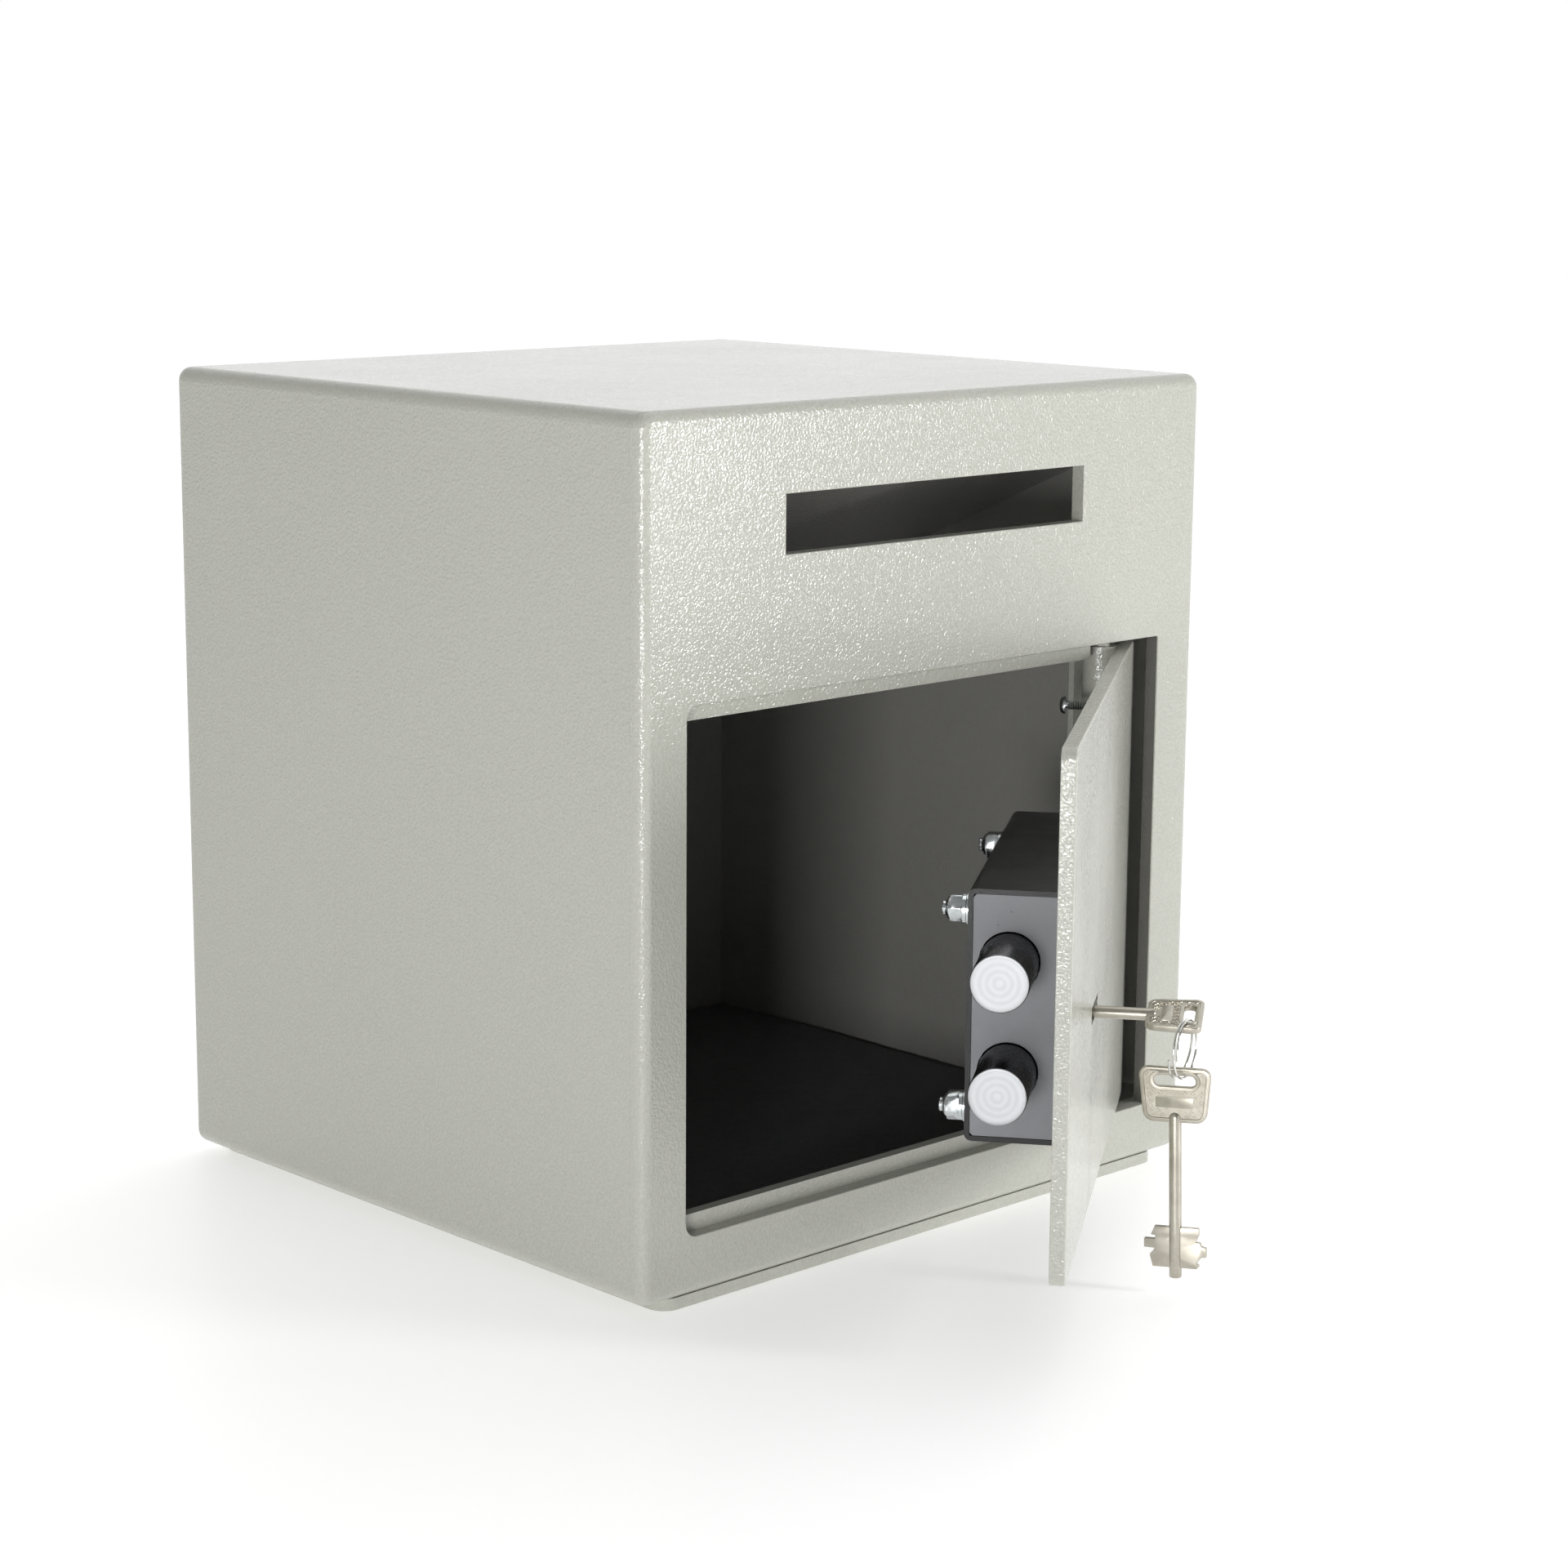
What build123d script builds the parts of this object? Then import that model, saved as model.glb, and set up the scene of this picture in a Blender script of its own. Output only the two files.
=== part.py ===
from build123d import *
from math import cos, radians, sin, sqrt
import os

# Deposit safe, in millimetres.
# The origin is the centre of the base's underside. +X is the hinge side, -Y the front, +Z up.
# The door is drawn shut and then turned about its hinge axis to the angle at which it stands open.

# Body shell
body_width = 326.0
body_depth = 306.5
body_height = 350.0
shell_wall = 3.0
shell_radius = 6.0
front_plate_t = 6.5
front_edge_radius = 5.0
rear_pan_depth = 12.0
rear_edge_radius = 5.0
plinth_t = 5.0
plinth_side_inset = 13.0
plinth_front_inset = 2.6
plinth_rear_inset = 3.0
plinth_radius = 8.0
floor_plate_t = 5.0
floor_plate_gap = 3.2
mat_t = 3.0
mat_gap = 3.0

# Openings in the front
door_margin_lock = 23.2
door_margin_hinge = 24.6
door_opening_low = 24.3
door_opening_below_top = 113.2
door_opening_radius = 6.0
door_opening_hinge_radius = 0.8
front_edge_break = 0.5
slot_length = 174.7
slot_height = 23.7
slot_below_top = 35.3
slot_offset = -0.65

# Frame behind the front plate
stop_width = 20.0
stop_t = 5.0
stop_lap = 7.0
stop_to_pivot = 14.5
stop_side_gap = 3.0
jamb_t = 9.0
jamb_width = 16.0
jamb_setback = 1.2
guard_width = 32.3
guard_setback = 32.25
guard_t = 3.0
guard_end_gap = 1.25

# Letter deflector
deflector_t = 2.0
deflector_below_top = 19.1
deflector_fall = 0.4286
deflector_reach = 216.0
deflector_tab = 12.0
deflector_side_gap = 0.3

# Anchor holes
anchor_hole_d = 12.5
base_anchor_x = 200.0
base_anchor_y = 200.0
rear_anchor_x = 150.0
rear_anchor_z = 195.0

# Door leaf and hinge
door_t = 6.2
door_gap_lock = 1.7
door_gap_hinge = 3.6
door_gap_level = 3.2
door_corner_radius = 5.0
door_outer_edge_radius = 0.8
door_inner_edge_radius = 0.4
pivot_from_opening = 22.9
pivot_behind_door = 7.25
barrel_d = 15.0
pin_d = 8.0
pin_running_gap = 0.05
pin_in_barrel = 18.0
pin_bore_spare = 1.5
bracket_t = 12.0
bracket_reach = 22.0
bracket_clear = 0.5
thrust_washer_d = 13.6
thrust_washer_play = 0.15
door_open_angle = 36.06

# Lock case on the inside of the door; "out" lengths run from the hinge axis towards the free edge
case_from_free_edge = 35.6
case_length = 150.3
case_depth = 37.2
case_height = 99.4
case_mid_z = 122.2
cover_t = 2.0
cover_radius = 3.0
chassis_t = 3.0
chassis_inset = 0.3
chassis_gap = 0.15
chassis_corner = 1.2
stud_d = 6.0
stud_end_inset = 12.0
stud_rear_inset = 20.3
stud_mid_offset = 39.1
stud_past_nut = 1.6
stud_end_chamfer = 0.6
stud_hole_gap = 0.3
washer_d = 12.5
washer_t = 1.6
washer_count = 2
nut_across_flats = 10.0
nut_t = 4.6
nut_collar_d = 9.2
nut_collar_t = 1.6

# Boltwork
bolt_d = 22.5
bolt_hole_gap = 0.6
bolt_offset_z = 21.7
bolt_depth = 20.9
bolt_stand_out = 34.0
bolt_end_chamfer = 0.8
crossbar_behind_end = 38.0
crossbar_t = 6.0
crossbar_width = 18.0
crossbar_overhang = 4.0
bolt_spigot_d = 12.0
spigot_gap = 0.02
rivet_head_d = 16.0
rivet_head_t = 1.8
guide_clear = 0.6
guide_t = 3.0
guide_edge = 4.0
bolt_throw = 20.0
turn_from_home = 9.0

# Lever lock round the key
key_from_case_end = 70.6
key_below_case_mid = 14.55
hard_plate_t = 3.0
hard_plate_margin = 3.0
lock_to_hinge_side = 33.9
lock_to_free_side = 17.4
lock_below = 21.8
lock_above = 24.0
lock_wall = 1.5
lock_floor = 2.0
lid_t = 1.2
lid_margin_to_cover = 0.3
tongue_t = 4.0
tongue_height = 5.0
tongue_clear = 0.5
tongue_length = 44.0
lever_count = 8
lever_t = 2.3
lever_gap = 0.2
lever_window_gap = 0.8
lever_edge_gap = 0.6
lever_post_d = 4.0
lever_post_gap = 0.05
lever_post_inset = 5.0
lever_spring_t = 0.4
lever_spring_length = 26.0
lever_spring_gap = 0.25
lever_headroom = 3.0

# Screw on the inner face of the door, near the hinge
leaf_screw_out = 30.0
leaf_screw_below_opening_top = 25.3
leaf_screw_d = 4.0
leaf_screw_stand = 18.9
leaf_screw_head_d = 7.6
leaf_screw_head_t = 2.6

# Keys
keyhole_gap = 0.5
keyhole_slot = 3.4
door_keyhole_height = 7.1
door_keyhole_under = 0.1
shank_d = 5.0
shank_length = 64.6
shank_end_chamfer = 0.5
bow_stand_off = 20.8
bow_width_far = 29.6
bow_width_near = 25.2
bow_length = 22.4
bow_t = 2.7
bow_radius = 4.0
bow_edge_radius = 0.5
bow_slot_length = 17.0
bow_slot_width = 4.6
bow_slot_inset = 5.4
shank_in_bow = 3.2
bit_reach = 12.6
bit_t = 2.2
bit_near_tip = 4.2
bit_far_tip = 21.0

# Split ring through both bows
ring_d = 23.3
ring_wire_d = 1.0
ring_turn_gap = 0.1
ring_spread = 3.0
ring_lean = 2.7
ring_end_angle = 100
ring_twist = -18.0
ring_shift = 1.0
ring_rest_gap = 0.1
spare_rest_gap = 0.3
spare_slot_offset = 2.4
spare_twist = -8.0
spare_lean = 1.8

shell_low = plinth_t
shell_high = plinth_t + body_height
half_w = body_width / 2
half_d = body_depth / 2
door_opening_left = -half_w + door_margin_lock
door_opening_right = half_w - door_margin_hinge
door_opening_high = body_height - door_opening_below_top
front_y = -half_d
frame_y = front_y + front_plate_t
rear_seam_y = half_d - rear_pan_depth
inner_low = shell_low + shell_wall
inner_x = half_w - shell_wall
door_low = plinth_t + door_opening_low + door_gap_level
door_high = plinth_t + door_opening_high - door_gap_level
door_free = door_opening_left + door_gap_lock
door_hinge = door_opening_right - door_gap_hinge
leaf_y = front_y + door_t
pivot_x = door_opening_right - pivot_from_opening
pivot_y = leaf_y + pivot_behind_door
case_free_end = pivot_x - door_free - case_from_free_edge
case_mid = plinth_t + case_mid_z
case_low = case_mid - case_height / 2
case_high = case_mid + case_height / 2
case_hinge_end = case_free_end - case_length
crossbar_face = case_free_end - crossbar_behind_end
key_out = case_free_end - key_from_case_end
key_axis_z = case_mid - key_below_case_mid
nut_stack = washer_count * washer_t + nut_t + nut_collar_t
sweep_radius = bit_reach + lever_window_gap


def block(x0, x1, y0, y1, z0, z1):
    """A box given by its two opposite corners."""
    middle = ((x0 + x1) / 2, (y0 + y1) / 2, (z0 + z1) / 2)
    return Pos(*middle) * Box(abs(x1 - x0), abs(y1 - y0), abs(z1 - z0))


def rod_x(x0, x1, y, z, diameter):
    """A round bar along X."""
    return Pos((x0 + x1) / 2, y, z) * Rot(0, 90, 0) * Cylinder(diameter / 2, abs(x1 - x0))


def rod_y(x, y0, y1, z, diameter):
    """A round bar along Y."""
    return Pos(x, (y0 + y1) / 2, z) * Rot(90, 0, 0) * Cylinder(diameter / 2, abs(y1 - y0))


def rod_z(x, y, z0, z1, diameter):
    """A round bar along Z."""
    return Pos(x, y, (z0 + z1) / 2) * Cylinder(diameter / 2, abs(z1 - z0))


def rounded_slab(x0, x1, y0, y1, z0, z1, radius):
    """A slab that faces Y, with its four corners rounded."""
    outline = RectangleRounded(abs(x1 - x0), abs(z1 - z0), radius)
    plane = Plane(origin=((x0 + x1) / 2, y0, (z0 + z1) / 2), x_dir=(1, 0, 0), z_dir=(0, 1, 0))
    return extrude(plane * outline, y1 - y0)


def merged(shapes):
    """One group of separate solids."""
    return Compound(children=[solid for shape in shapes for solid in shape.solids()])


def along(out):
    """X of a point on the shut door, from its distance to the hinge axis."""
    return pivot_x - out


def behind(depth):
    """Y of a point behind the inner face of the shut door."""
    return leaf_y + depth


def swung(shape):
    """Turns a shape drawn on the shut door to the open angle."""
    hinge = Pos(pivot_x, pivot_y, 0)
    return hinge * Rot(0, 0, door_open_angle) * hinge.inverse() * shape


# Body

def make_body_wrap():
    """Sides, top and bottom, folded from one sheet."""
    outer = rounded_slab(-half_w, half_w, frame_y, rear_seam_y, shell_low, shell_high, shell_radius)
    inner = rounded_slab(-inner_x, inner_x, frame_y, rear_seam_y, inner_low,
                         shell_high - shell_wall, shell_radius - shell_wall)
    wrap = outer - inner
    for x, y in base_anchors():
        wrap -= rod_z(x, y, shell_low - 1, inner_low + 1, anchor_hole_d)
    return wrap


def make_front_panel():
    """Thick front plate with the door opening and the deposit slot."""
    plate = rounded_slab(-half_w, half_w, front_y, frame_y, shell_low, shell_high, shell_radius)
    plate = fillet(plate.faces().sort_by(Axis.Y)[0].edges(), front_edge_radius)
    opening = block(door_opening_left, door_opening_right, front_y - 1, frame_y + 1,
                    plinth_t + door_opening_low, plinth_t + door_opening_high)
    opening = fillet(opening.edges().filter_by(Axis.Y).sort_by(Axis.X)[:2], door_opening_radius)
    opening = fillet(opening.edges().filter_by(Axis.Y).sort_by(Axis.X)[-2:], door_opening_hinge_radius)
    left, high = slot_offset - slot_length / 2, shell_high - slot_below_top
    slot = block(left, left + slot_length, front_y - 1, frame_y + 1, high - slot_height, high)
    plate -= opening + slot
    rims = [edge for wire in plate.faces().sort_by(Axis.Y)[0].inner_wires() for edge in wire.edges()]
    return fillet(rims, front_edge_break)


def make_rear_panel():
    """Rear pan with two wall anchor holes."""
    pan = rounded_slab(-half_w, half_w, rear_seam_y, half_d, shell_low, shell_high, shell_radius)
    pan = fillet(pan.faces().sort_by(Axis.Y)[-1].edges(), rear_edge_radius)
    pan -= rounded_slab(-inner_x, inner_x, rear_seam_y - 1, half_d - shell_wall, inner_low,
                        shell_high - shell_wall, shell_radius - shell_wall)
    for x in (-rear_anchor_x / 2, rear_anchor_x / 2):
        pan -= rod_y(x, half_d - shell_wall - 1, half_d + 1, plinth_t + rear_anchor_z, anchor_hole_d)
    return pan


def base_anchors():
    """Centres of the four floor anchor holes."""
    return [(x, y) for x in (-base_anchor_x / 2, base_anchor_x / 2)
            for y in (-base_anchor_y / 2, base_anchor_y / 2)]


def make_base_plate():
    """Plinth plate that the safe stands on."""
    x = half_w - plinth_side_inset
    y0, y1 = front_y + plinth_front_inset, half_d - plinth_rear_inset
    outline = RectangleRounded(2 * x, y1 - y0, plinth_radius)
    plate = extrude(Pos(0, (y0 + y1) / 2, 0) * outline, plinth_t)
    for x, y in base_anchors():
        plate -= rod_z(x, y, -1, plinth_t + 1, anchor_hole_d)
    return plate


def inside_floor(z0, thickness, gap, front):
    """A flat layer on the floor of the safe."""
    return block(-inner_x + gap, inner_x - gap, front, half_d - shell_wall - gap, z0, z0 + thickness)


def make_floor_plate():
    """Stiffening plate under the mat, with the anchor holes through it."""
    plate = inside_floor(inner_low, floor_plate_t, floor_plate_gap, frame_y + floor_plate_gap)
    for x, y in base_anchors():
        plate -= rod_z(x, y, inner_low - 1, inner_low + floor_plate_t + 1, anchor_hole_d)
    return plate


def make_floor_mat():
    """Felt mat, laid behind the sill over the anchor holes."""
    return inside_floor(inner_low + floor_plate_t, mat_t, mat_gap, frame_y + stop_t + mat_gap)


def stop_span():
    """Ends in X of the bars above and below the door."""
    return -inner_x + stop_side_gap, pivot_x - stop_to_pivot


def make_door_stop_top():
    """Flat bar behind the front plate that the top of the door shuts against."""
    edge = plinth_t + door_opening_high - stop_lap
    return block(*stop_span(), frame_y, frame_y + stop_t, edge, edge + stop_width)


def make_door_sill():
    """Flat bar behind the front plate that the foot of the door shuts against."""
    edge = plinth_t + door_opening_low + stop_lap
    return block(*stop_span(), frame_y, frame_y + stop_t, edge - stop_width, edge)


def make_lock_jamb():
    """Bar on the lock side that the thrown bolts stand behind."""
    edge = door_opening_left - jamb_setback
    low = plinth_t + door_opening_low + stop_lap
    high = plinth_t + door_opening_high - stop_lap
    return block(edge - jamb_width, edge, frame_y, frame_y + jamb_t, low, high)


def make_hinge_guard():
    """Strip on the side wall that closes off the hinge recess."""
    front = frame_y + guard_setback
    low = plinth_t + door_opening_low + guard_end_gap
    high = plinth_t + door_opening_high - guard_end_gap
    return block(inner_x - guard_width, inner_x, front, front + guard_t, low, high)


def bracket(z0, z1, pin_low, pin_high):
    """A hinge bracket behind the front plate, bored for its pin."""
    body = block(stop_span()[1] + bracket_clear, inner_x, frame_y, frame_y + bracket_reach, z0, z1)
    return body - rod_z(pivot_x, pivot_y, pin_low, pin_high, pin_d)


def upper_bracket_z():
    low = plinth_t + door_opening_high + bracket_clear
    return low, low + bracket_t


def lower_bracket_z():
    high = plinth_t + door_opening_low - bracket_clear
    return high - bracket_t, high


def make_hinge_brackets():
    upper, lower = upper_bracket_z(), lower_bracket_z()
    return {"upper_hinge_bracket": bracket(*upper, door_high - pin_in_barrel, upper[1] + 1),
            "lower_hinge_bracket": bracket(*lower, lower[0] - 1, door_low + pin_in_barrel)}


def make_hinge_pins():
    upper, lower = upper_bracket_z(), lower_bracket_z()
    return {"upper_hinge_pin": rod_z(pivot_x, pivot_y, door_high - pin_in_barrel, upper[1], pin_d),
            "lower_hinge_pin": rod_z(pivot_x, pivot_y, lower[0], door_low + pin_in_barrel, pin_d)}


def make_thrust_washer():
    """Washer on the lower bracket that carries the barrel."""
    low = lower_bracket_z()[1]
    ring = rod_z(pivot_x, pivot_y, low, door_low - thrust_washer_play, thrust_washer_d)
    return ring - rod_z(pivot_x, pivot_y, low - 1, door_low + 1, pin_d)


def make_deflector():
    """Sloping plate under the top that turns letters down and keeps hands out."""
    x = inner_x - deflector_side_gap
    z_front = shell_high - deflector_below_top
    z_rear = z_front - deflector_fall * deflector_reach
    slope = sqrt(1 + deflector_fall ** 2)
    lift = deflector_t * slope
    outline = Polyline(
        (frame_y, z_front), (frame_y + deflector_reach, z_rear), (frame_y + deflector_reach, z_rear + lift),
        (frame_y + deflector_t, z_front + lift - deflector_fall * deflector_t),
        (frame_y + deflector_t, z_front + deflector_tab), (frame_y, z_front + deflector_tab), close=True)
    face = make_face(Plane(origin=(-x, 0, 0), x_dir=(0, 1, 0), z_dir=(1, 0, 0)) * outline)
    return extrude(face, 2 * x)


# Door leaf

def keyhole(y0, y1):
    """Level keyhole inside the lock: a slot for the two bits and a round for the shank."""
    x = along(key_out)
    half = bit_reach + keyhole_gap
    slot = block(x - half, x + half, y0, y1, key_axis_z - keyhole_slot / 2, key_axis_z + keyhole_slot / 2)
    return slot + rod_y(x, y0, y1, key_axis_z, shank_d + keyhole_gap)


def make_door_plate():
    leaf = rounded_slab(door_free, door_hinge, front_y, leaf_y, door_low, door_high, door_corner_radius)
    leaf = fillet(leaf.faces().sort_by(Axis.Y)[0].edges(), door_outer_edge_radius)
    leaf = fillet(leaf.faces().sort_by(Axis.Y)[-1].edges(), door_inner_edge_radius)
    x = along(key_out)
    half = bit_reach + keyhole_gap
    low = key_axis_z - shank_d / 2 - door_keyhole_under
    return leaf - block(x - half, x + half, front_y - 1, leaf_y + 1, low, low + door_keyhole_height)


def make_hinge_barrel():
    """Round bar welded behind the hinge edge and bored at both ends for the pins."""
    barrel = rod_z(pivot_x, pivot_y, door_low, door_high, barrel_d)
    barrel -= block(pivot_x - barrel_d, pivot_x + barrel_d, leaf_y - barrel_d, leaf_y,
                    door_low - 1, door_high + 1)
    bore = pin_d + 2 * pin_running_gap
    depth = pin_in_barrel + pin_bore_spare
    barrel -= rod_z(pivot_x, pivot_y, door_low - 1, door_low + depth, bore)
    barrel -= rod_z(pivot_x, pivot_y, door_high - depth, door_high + 1, bore)
    return barrel


def make_leaf_screw():
    """Pan-head screw standing off the inner face near the hinge."""
    x, z = along(leaf_screw_out), plinth_t + door_opening_high - leaf_screw_below_opening_top
    seat = behind(leaf_screw_stand)
    shank = rod_y(x, leaf_y, seat, z, leaf_screw_d)
    head = rod_y(x, seat, seat + leaf_screw_head_t, z, leaf_screw_head_d)
    head = fillet(head.faces().sort_by(Axis.Y)[-1].edges(), leaf_screw_head_t * 0.6)
    return shank + head


# Lock case

def stud_places():
    """X and Z of the four studs that hold the cover."""
    outs = (case_free_end - stud_end_inset, case_hinge_end + stud_rear_inset)
    return [(along(out), case_mid + side * stud_mid_offset) for out in outs for side in (-1, 1)]


def bolt_heights():
    return case_mid - bolt_offset_z, case_mid + bolt_offset_z


def make_lock_chassis():
    """Folded tray on the door, with a pierced wall at each end."""
    x_free = along(case_free_end - chassis_inset)
    x_hinge = along(case_hinge_end + chassis_inset)
    inset = cover_t + chassis_gap
    low, high = case_low + inset, case_high - inset
    top = behind(case_depth - inset)
    tray = block(x_free, x_hinge, leaf_y, behind(chassis_t), low, high)
    for x0, x1 in ((x_free, x_free + chassis_t), (x_hinge - chassis_t, x_hinge)):
        wall = block(x0, x1, leaf_y, top, low, high)
        corners = wall.edges().filter_by(Axis.X).sort_by(Axis.Y)[-2:]
        tray += chamfer(corners, chassis_corner)
    for z in bolt_heights():
        tray -= rod_x(x_free - 1, x_free + chassis_t + 1, behind(bolt_depth), z, bolt_d + 2 * bolt_hole_gap)
    tray -= keyhole(leaf_y - 1, behind(chassis_t) + 1)
    return tray


def make_lock_cover():
    """Cover folded over the lock: top, back and bottom, held by four nuts."""
    x0, x1 = along(case_free_end), along(case_hinge_end)
    inside = behind(case_depth - cover_t)
    outer = block(x0, x1, leaf_y, behind(case_depth), case_low, case_high)
    outer = fillet(outer.edges().filter_by(Axis.X).sort_by(Axis.Y)[-2:], cover_radius)
    inner = block(x0 - 1, x1 + 1, leaf_y - 1, inside, case_low + cover_t, case_high - cover_t)
    inner = fillet(inner.edges().filter_by(Axis.X).sort_by(Axis.Y)[-2:], cover_radius - cover_t)
    cover = outer - inner
    for x, z in stud_places():
        cover -= rod_y(x, inside - 1, behind(case_depth + 1), z, stud_d + 2 * stud_hole_gap)
    tip_d = shank_d + 2 * keyhole_gap
    return cover - rod_y(along(key_out), inside - 1, behind(case_depth + 1), key_axis_z, tip_d)


def make_cover_studs():
    tip = case_depth + nut_stack + stud_past_nut
    studs = [rod_y(x, behind(chassis_t), behind(tip), z, stud_d) for x, z in stud_places()]
    return merged([chamfer(s.faces().sort_by(Axis.Y)[-1].edges(), stud_end_chamfer) for s in studs])


def make_cover_washers():
    washers = []
    for x, z in stud_places():
        for layer in range(washer_count):
            y0 = behind(case_depth + layer * washer_t)
            disc = rod_y(x, y0, y0 + washer_t, z, washer_d - layer)
            washers.append(disc - rod_y(x, y0 - 1, y0 + washer_t + 1, z, stud_d))
    return merged(washers)


def make_cover_nuts():
    """Four locking nuts, each a hexagon with a round collar."""
    nuts = []
    y0 = behind(case_depth + washer_count * washer_t)
    for x, z in stud_places():
        seat = Plane(origin=(x, y0, z), x_dir=(1, 0, 0), z_dir=(0, 1, 0))
        hexagon = seat * RegularPolygon(nut_across_flats / 2, 6, major_radius=False)
        nut = extrude(hexagon, nut_t) + rod_y(x, y0 + nut_t, y0 + nut_t + nut_collar_t, z, nut_collar_d)
        nuts.append(nut - rod_y(x, y0 - 1, y0 + nut_stack, z, stud_d))
    return merged(nuts)


# Boltwork

def make_bolt(z):
    """A round bolt with a spigot that is riveted into the crossbar."""
    y = behind(bolt_depth)
    end = along(case_free_end + bolt_stand_out)
    body = rod_x(end, along(crossbar_face), y, z, bolt_d)
    body = chamfer(body.faces().sort_by(Axis.X)[0].edges(), bolt_end_chamfer)
    tail = along(crossbar_face - crossbar_t)
    spigot = rod_x(along(crossbar_face), tail, y, z, bolt_spigot_d - 2 * spigot_gap)
    return body + spigot + rod_x(tail, tail + rivet_head_t, y, z, rivet_head_d)


def make_bolt_crossbar():
    """Bar that ties the two bolts together."""
    low, high = bolt_heights()
    reach = bolt_d / 2 + crossbar_overhang
    x0, x1 = along(crossbar_face), along(crossbar_face - crossbar_t)
    y = behind(bolt_depth)
    bar = block(x0, x1, y - crossbar_width / 2, y + crossbar_width / 2, low - reach, high + reach)
    for z in (low, high):
        bar -= rod_x(x0 - 1, x1 + 1, y, z, bolt_spigot_d)
    return bar


def tongue_box():
    """Y and Z limits of the tongue that runs over the key."""
    y0 = behind(chassis_t + hard_plate_t + lock_floor + lever_gap)
    z0 = key_axis_z + bit_reach + tongue_clear
    return y0, y0 + tongue_t, z0, z0 + tongue_height


def make_lock_tongue():
    """Flat tongue that joins the crossbar to the lever lock."""
    y0, y1, z0, z1 = tongue_box()
    root = along(crossbar_face - crossbar_t)
    return block(root, root + tongue_length, y0, y1, z0, z1)


def make_bolt_guide():
    """Inner plate that steadies the bolts."""
    low, high = bolt_heights()
    reach = bolt_d / 2 + bolt_hole_gap + guide_edge
    x0 = along(crossbar_face + bolt_throw + guide_clear + guide_t)
    plate = block(x0, x0 + guide_t, behind(chassis_t), behind(bolt_depth + reach - guide_edge + 1),
                  low - reach, high + reach)
    for z in (low, high):
        plate -= rod_x(x0 - 1, x0 + guide_t + 1, behind(bolt_depth), z, bolt_d + 2 * bolt_hole_gap)
    return plate


# Lever lock

def lock_span():
    """X and Z limits of the lever lock's case."""
    x = along(key_out)
    return x - lock_to_free_side, x + lock_to_hinge_side, key_axis_z - lock_below, key_axis_z + lock_above


def lock_floor_y():
    return behind(chassis_t + hard_plate_t)


def lid_y():
    return behind(case_depth - cover_t - lid_margin_to_cover - lid_t)


def make_hard_plate():
    """Hardened plate between the chassis and the lever lock."""
    x0, x1, z0, z1 = lock_span()
    m = hard_plate_margin
    plate = block(x0 + m, x1 + m, behind(chassis_t), lock_floor_y(), z0 + m, z1 - m)
    return plate - keyhole(behind(chassis_t) - 1, lock_floor_y() + 1)


def make_lock_body():
    """Open tray of the lever lock, with a mouth for the tongue."""
    x0, x1, z0, z1 = lock_span()
    floor = lock_floor_y()
    tray = block(x0, x1, floor, lid_y(), z0, z1)
    tray -= block(x0 + lock_wall, x1 - lock_wall, floor + lock_floor, lid_y() + 1,
                  z0 + lock_wall, z1 - lock_wall)
    y0, y1, t0, t1 = tongue_box()
    c = lever_gap / 2
    tray -= block(x0 - 1, x0 + lock_wall + 1, y0 - c, y1 + c, t0 - c, t1 + c)
    return tray - keyhole(floor - 1, floor + lock_floor + 1)


def make_lock_lid():
    """Lid of the lever lock, bored for the key's tip."""
    x0, x1, z0, z1 = lock_span()
    lid = block(x0, x1, lid_y(), lid_y() + lid_t, z0, z1)
    return lid - rod_y(along(key_out), lid_y() - 1, lid_y() + lid_t + 1, key_axis_z, shank_d + keyhole_gap)


def lever_post_place():
    x0, x1, z0, z1 = lock_span()
    return x1 - lock_wall - lever_post_inset, z0 + lock_wall + lever_post_inset


def make_lever_post():
    x, z = lever_post_place()
    return rod_y(x, lock_floor_y() + lock_floor, lid_y(), z, lever_post_d)


def lever_layers():
    """Front and rear Y of each lever, behind the tongue."""
    first = tongue_box()[1] + lever_gap
    pitch = lever_t + lever_gap
    return [(first + n * pitch, first + n * pitch + lever_t) for n in range(lever_count)]


def make_levers():
    """Lever plates on their post, each with a round window for the key."""
    x0, x1, z0, z1 = lock_span()
    edge = lock_wall + lever_edge_gap
    x_post, z_post = lever_post_place()
    levers = []
    for y0, y1 in lever_layers():
        plate = block(x0 + edge, x1 - edge, y0, y1, z0 + edge, z1 - lock_wall - lever_headroom)
        plate -= rod_y(along(key_out), y0 - 1, y1 + 1, key_axis_z, 2 * sweep_radius)
        levers.append(plate - rod_y(x_post, y0 - 1, y1 + 1, z_post, lever_post_d + 2 * lever_post_gap))
    return merged(levers)


def make_lever_springs():
    """Flat springs over the levers."""
    x0, x1, z0, z1 = lock_span()
    low = z1 - lock_wall - lever_headroom + lever_spring_gap
    x = (x0 + x1) / 2
    half = lever_spring_length / 2
    return merged([block(x - half, x + half, y0 + lever_gap, y1 - lever_gap, low, low + lever_spring_t)
                   for y0, y1 in lever_layers()])


# Keys, drawn with the shank along Y, the bow at -Y and both flat in the XY plane

def bow_outline(offset=0.0):
    """Tapered bow; its near edge, where the shank starts, is at y = 0."""
    near, far = bow_width_near / 2 - offset, bow_width_far / 2 - offset
    y0, y1 = -offset, -bow_length + offset
    corners = Polyline((-near, y0), (near, y0), (far, y1), (-far, y1), close=True)
    face = make_face(corners)
    return fillet(face.vertices(), bow_radius - offset)


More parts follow.
